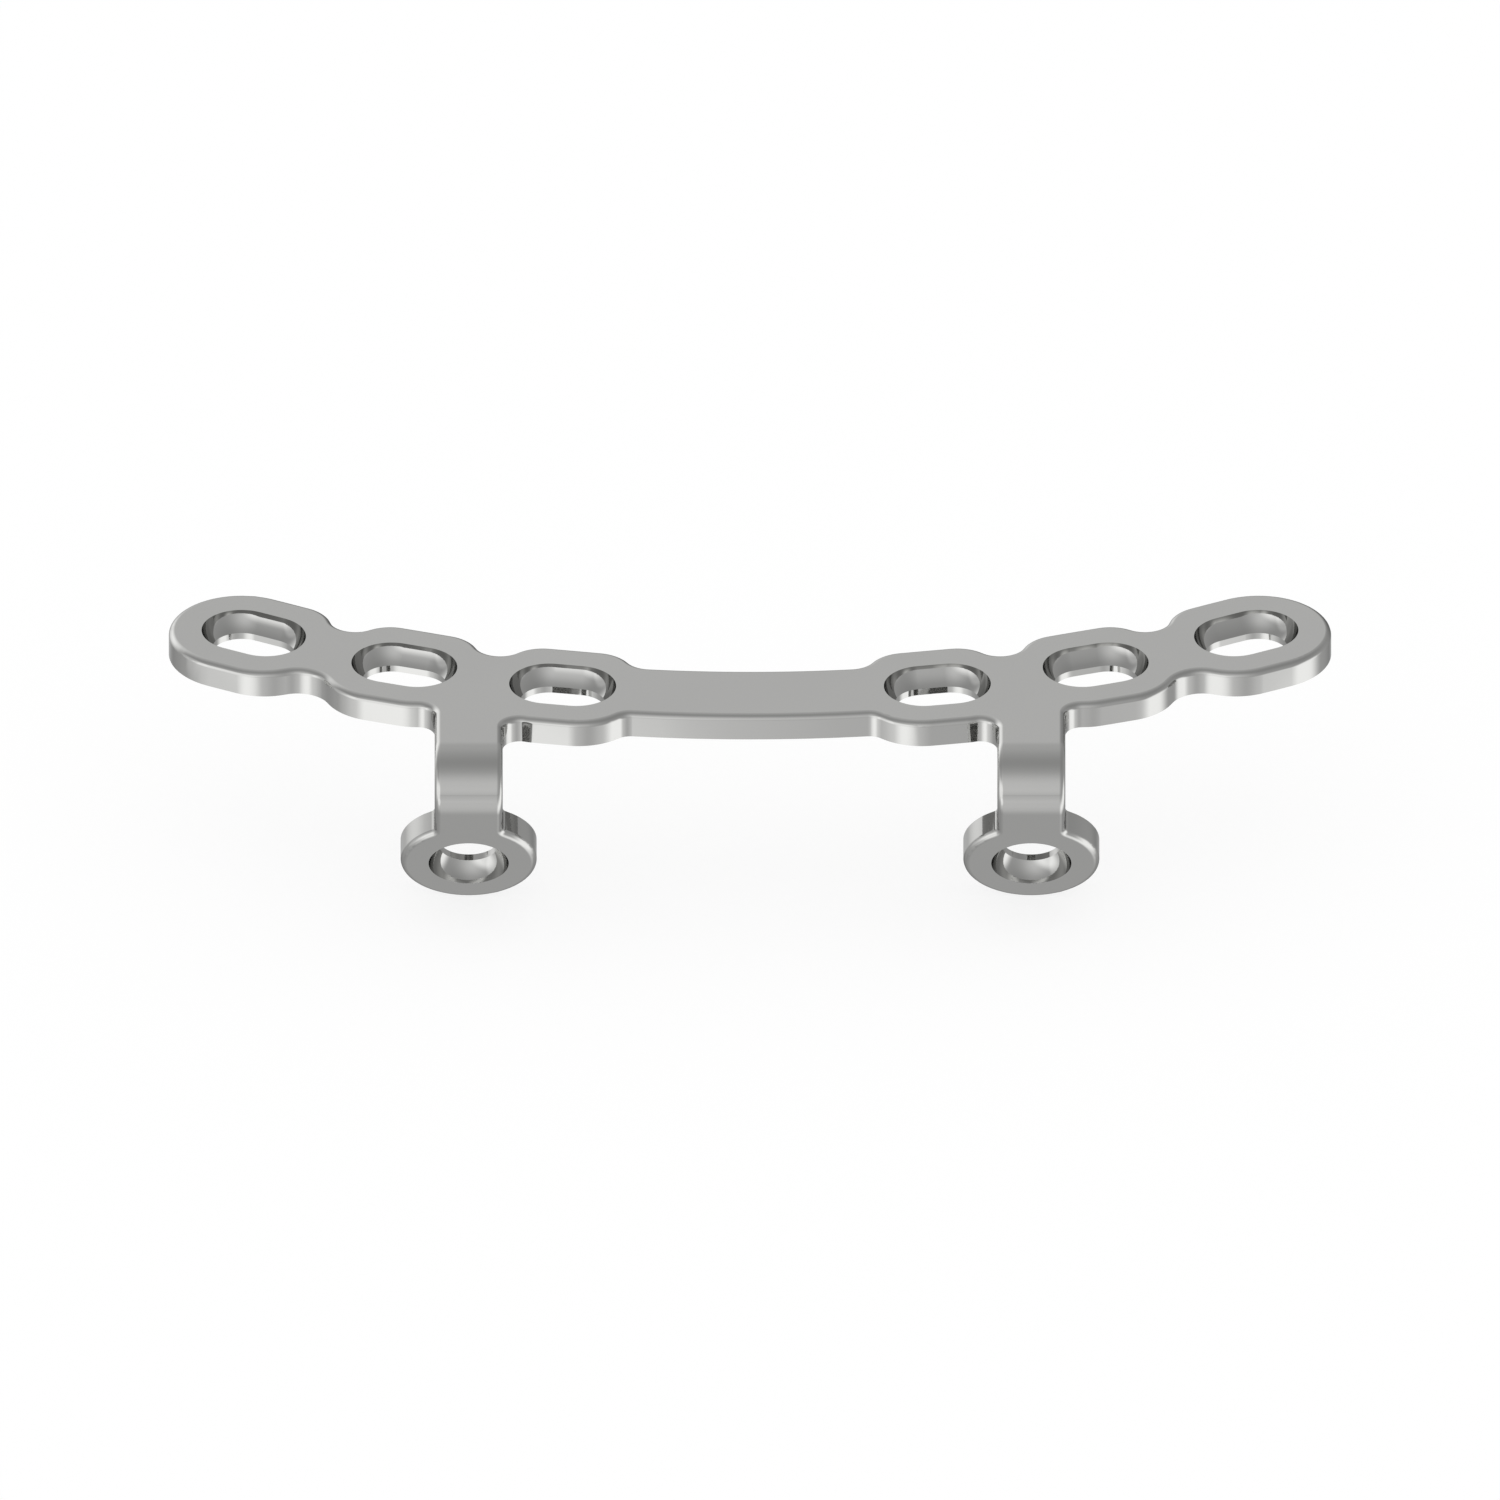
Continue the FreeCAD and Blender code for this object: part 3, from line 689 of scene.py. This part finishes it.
    def _bulge(self, edge: bmesh.types.BMEdge, kept: bmesh.types.BMLayerItem) -> Vector:
        """Works out where the true surfaces pass the middle of a facet's edge.

        A round surface passes halfway between the edge's middle and the tangent planes of the
        edge's two ends, which pass over it.

        Args:
            edge: An edge of the closed shell.
            kept: The layer of the true normals.

        Returns:
            The way from the edge's middle to both surfaces that meet there.
        """
        sides = []
        for loop in edge.link_loops:
            beside = loop.link_loop_next
            half = (beside.vert.co - loop.vert.co) / 2.0
            facing = (loop[kept] + beside[kept]).normalized()
            lifts = half.dot(beside[kept]) * beside[kept] - half.dot(loop[kept]) * loop[kept]
            mean_height = lifts.dot(facing) / 2.0
            sides.append((facing, mean_height / 2.0))
        (one, rise_one), (two, rise_two) = sides
        share = one.dot(two)
        if share > self.smooth_match:
            return (rise_one * one + rise_two * two) / 2.0
        both = (rise_one - share * rise_two) * one + (rise_two - share * rise_one) * two
        return both / (1.0 - share**2)

    def _restore_normals(self, mesh: bpy.types.Mesh) -> None:
        """Gives the finished mesh the normals that its corners carry, and drops what is spent.

        Args:
            mesh: The finished mesh, with its working attributes.
        """
        normals = [tuple(corner.vector) for corner in mesh.attributes[CAD_NORMAL].data]
        mesh.normals_split_custom_set(normals)
        for spent in (CAD_NORMAL, BULGE):
            mesh.attributes.remove(mesh.attributes[spent])

    def _dress(self, piece: bpy.types.Object) -> None:
        """Gives the outer faces and the screw seats their own finish.

        Args:
            piece: The plate.
        """
        effects = SurfaceEffects()
        finishes = {Zone.OUTER_FACES: TUMBLED_STEEL, Zone.SCREW_SEATS: TURNED_STEEL}
        for zone in Zone:
            piece.data.materials.append(finishes[zone].build(effects))


@dataclass(frozen=True)
class SoftBox:
    """A soft patch of studio light or shade as the polished steel sees it.

    Azimuth 0 is on the camera's side and grows to its right. The softness is the share of the
    half width over which the light fades out, and a negative strength is a shade.
    """

    name: str
    azimuth: float
    elevation: float
    half_width: float
    half_height: float
    softness: float
    strength: float

    def turn(self) -> Euler:
        """Returns the turn that brings the camera's side round to the middle of the box."""
        return Euler((-math.radians(self.elevation), 0.0, math.radians(self.azimuth)))

    def size(self) -> Vector:
        """Returns the box's half width and half height as sines, with 1 for its depth."""
        wide, tall = (math.sin(math.radians(side)) for side in (self.half_width, self.half_height))
        return Vector((wide, 1.0, tall))


@dataclass
class Studio:
    """The plain pale studio: floor, surroundings and camera.

    The ladder gives the walls' light level at each elevation, and the horizon is its middle. A box
    has its name, azimuth, elevation, half width, half height, softness and strength, and its angles
    are in degrees. No light in the steel passes the brightest level.
    """

    floor_half_width: float = 2.0
    floor_colour: tuple[float, float, float] = (1.0, 1.0, 1.0)
    floor_shade: float = 0.2
    white: tuple[float, float, float, float] = (1.0, 1.0, 1.0, 1.0)
    ladder: tuple[tuple[float, float], ...] = (
        (-90.0, 0.635),
        (-60.0, 0.51),
        (-30.0, 0.64),
        (0.0, 0.56),
        (45.0, 0.43),
        (90.0, 0.48),
    )
    boxes: tuple[SoftBox, ...] = (
        SoftBox("room_in_front", -12.0, 14.0, 85.0, 85.0, 1.00, 0.50),
        SoftBox("room_behind", -157.0, 44.0, 85.0, 82.0, 0.85, 0.29),
        SoftBox("shade_behind", -171.0, -11.0, 85.0, 64.0, 0.77, -0.50),
        SoftBox("window_behind_left", -147.0, 10.0, 55.0, 51.0, 0.80, 1.20),
        SoftBox("left_wall", -76.0, -4.0, 31.0, 36.0, 0.35, 0.26),
        SoftBox("window_front_left", -43.0, -8.0, 51.0, 34.0, 0.65, 0.74),
        SoftBox("front_left_ground", -28.0, -46.0, 49.0, 37.0, 0.83, 0.46),
        SoftBox("front_left_patch", -28.0, -38.0, 24.0, 14.0, 0.45, 0.40),
        SoftBox("right_ground", 52.0, -54.0, 36.0, 40.0, 1.00, 1.20),
        SoftBox("window_right", 82.0, -25.0, 33.0, 37.0, 0.78, 1.07),
        SoftBox("front_skirting", 0.0, -18.0, 60.0, 3.0, 0.90, -0.10),
        SoftBox("ground_behind", -174.0, -27.0, 45.0, 12.0, 0.70, 0.42),
    )
    brightest: float = 1.735
    horizon: float = 0.5
    camera_elevation: float = 30.0
    camera_distance: float = 0.6
    camera_aim: tuple[float, float, float] = (0.0, 0.0, -2.845 * MM)
    framed_width: float = 110.11 * MM

    def build(self) -> None:
        """Builds the floor, the surroundings and the camera."""
        self._build_floor()
        self._build_surroundings()
        self._build_camera()

    def _build_floor(self) -> None:
        """Lays a pale floor at the plate's lowest point."""
        shell = bmesh.new()
        bmesh.ops.create_grid(shell, x_segments=1, y_segments=1, size=self.floor_half_width)
        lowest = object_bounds()[0].z
        bmesh.ops.translate(shell, verts=shell.verts, vec=(0.0, 0.0, lowest))
        mesh = bpy.data.meshes.new("floor")
        shell.to_mesh(mesh)
        shell.free()
        floor = bpy.data.objects.new("floor", mesh)
        bpy.context.scene.collection.objects.link(floor)
        mesh.materials.append(self._floor_material())
        floor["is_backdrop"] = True

    def _floor_material(self) -> bpy.types.Material:
        """Makes the floor: white to the camera, with the plate's soft shadow left on it.

        Reflections and views from below pass through it to the pale surroundings.

        Returns:
            The material.
        """
        material = bpy.data.materials.new("pale_floor")
        material.use_nodes = True
        board = NodeBoard(material.node_tree)
        matt = board.feed(board.add("ShaderNodeBsdfDiffuse"), Color=(*self.floor_colour, 1.0))
        bright = board.feed(board.add("ShaderNodeEmission"), Color=self.white, Strength=1.0)
        clear = board.add("ShaderNodeBsdfTransparent")
        path = board.add("ShaderNodeLightPath")
        seen = board.math("MULTIPLY", path.outputs["Is Camera Ray"], 1.0 - self.floor_shade)
        ground = board.mix(seen, matt.outputs["BSDF"], bright.outputs["Emission"])
        behind = board.add("ShaderNodeNewGeometry").outputs["Backfacing"]
        glossy, through = path.outputs["Is Glossy Ray"], path.outputs["Is Transmission Ray"]
        passes = board.math("MAXIMUM", behind, board.math("MAXIMUM", glossy, through))
        shown = board.mix(passes, ground, clear.outputs["BSDF"])
        board.feed(board.add("ShaderNodeOutputMaterial"), Surface=shown)
        return material

    def _build_surroundings(self) -> None:
        """Builds the world: white to the camera and to the floor, soft boxes to the steel."""
        world = bpy.data.worlds.new("pale_studio")
        world.use_nodes = True
        bpy.context.scene.world = world
        board = NodeBoard(world.node_tree)
        direction = board.add("ShaderNodeTexCoord").outputs["Generated"]
        level = self._wall_level(board, direction)
        group = self._soft_box_group()
        for box in self.boxes:
            lamp = board.place(
                group,
                Direction=direction,
                Turn=box.turn(),
                Size=box.size(),
                Core=1.0 - box.softness,
                Strength=box.strength,
            )
            lamp.label = box.name
            level = board.math("ADD", level, lamp.outputs["Light"])
        level = board.math("MINIMUM", level, self.brightest)
        plain = board.feed(board.add("ShaderNodeBackground"), Color=self.white, Strength=1.0)
        lit = board.feed(board.add("ShaderNodeBackground"), Color=self.white, Strength=level)
        glossy = board.add("ShaderNodeLightPath").outputs["Is Glossy Ray"]
        shown = board.mix(glossy, plain.outputs["Background"], lit.outputs["Background"])
        board.feed(board.add("ShaderNodeOutputWorld"), Surface=shown)

    def _wall_level(self, board: NodeBoard, direction: Socket) -> Socket:
        """Grades the studio's walls from its floor to its ceiling.

        Args:
            board: The world's board.
            direction: The way that a ray leaves.

        Returns:
            The light level of the wall that the ray meets.
        """
        parts = board.feed(board.add("ShaderNodeSeparateXYZ"), Vector=direction)
        elevation = board.math("ARCSINE", parts.outputs["Z"])
        share = board.math("MULTIPLY_ADD", elevation, 1.0 / math.pi, self.horizon)
        ramp = board.add("ShaderNodeValToRGB")
        board.feed(ramp, Fac=share)
        stops = ramp.color_ramp.elements
        for angle, level in self.ladder[1:-1]:
            stops.new(angle / HALF_TURN + self.horizon).color = (level, level, level, 1.0)
        for stop, rung in ((stops[0], self.ladder[0]), (stops[-1], self.ladder[-1])):
            stop.color = (rung[1], rung[1], rung[1], 1.0)
        return ramp.outputs["Color"]

    def _soft_box_group(self) -> Tree:
        """Builds the group that lights one patch of the surroundings, fading to its edges.

        Returns:
            The group.
        """
        inputs = {
            "Direction": "NodeSocketVector",
            "Turn": "NodeSocketVector",
            "Size": "NodeSocketVector",
            "Core": "NodeSocketFloat",
            "Strength": "NodeSocketFloat",
        }
        board, given, result = start_group("soft_box", inputs, {"Light": "NodeSocketFloat"})
        faced = board.add("ShaderNodeMapping", vector_type="TEXTURE")
        board.feed(
            faced,
            Vector=given.outputs["Direction"],
            Rotation=given.outputs["Turn"],
            Scale=given.outputs["Size"],
        )
        parts = board.feed(board.add("ShaderNodeSeparateXYZ"), Vector=faced.outputs["Vector"])
        across = board.math("POWER", parts.outputs["X"], 2.0)
        upward = board.math("POWER", parts.outputs["Z"], 2.0)
        away = board.math("SQRT", board.math("ADD", across, upward))
        glow = board.span(away, (given.outputs["Core"], 1.0), (1.0, 0.0))
        front = board.math("LESS_THAN", parts.outputs["Y"], 0.0)
        light = board.math("MULTIPLY", board.math("MULTIPLY", glow, front), given.outputs["Strength"])
        board.join(light, result.inputs["Light"])
        return board.tree

    def _build_camera(self) -> None:
        """Sets the camera: a parallel view, level across and looking down at the plate."""
        lens = bpy.data.cameras.new("camera")
        lens.type = "ORTHO"
        lens.ortho_scale = self.framed_width
        camera = bpy.data.objects.new("camera", lens)
        bpy.context.scene.collection.objects.link(camera)
        tilt = math.radians(self.camera_elevation)
        back = Vector((0.0, -math.cos(tilt), math.sin(tilt)))
        camera.location = Vector(self.camera_aim) + self.camera_distance * back
        camera.rotation_euler = (math.pi / 2.0 - tilt, 0.0, 0.0)
        bpy.context.scene.camera = camera


def main() -> None:
    """Builds the plate and its studio, and reports each piece."""
    logging.basicConfig(level=logging.INFO, format="%(name)s: %(message)s")
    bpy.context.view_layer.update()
    plate = BonePlate().build()
    log.info("built %s", plate.name)
    Studio().build()
    log.info("built the studio")
    bpy.context.scene.view_settings.view_transform = "Standard"


if __name__ == "__main__":
    main()
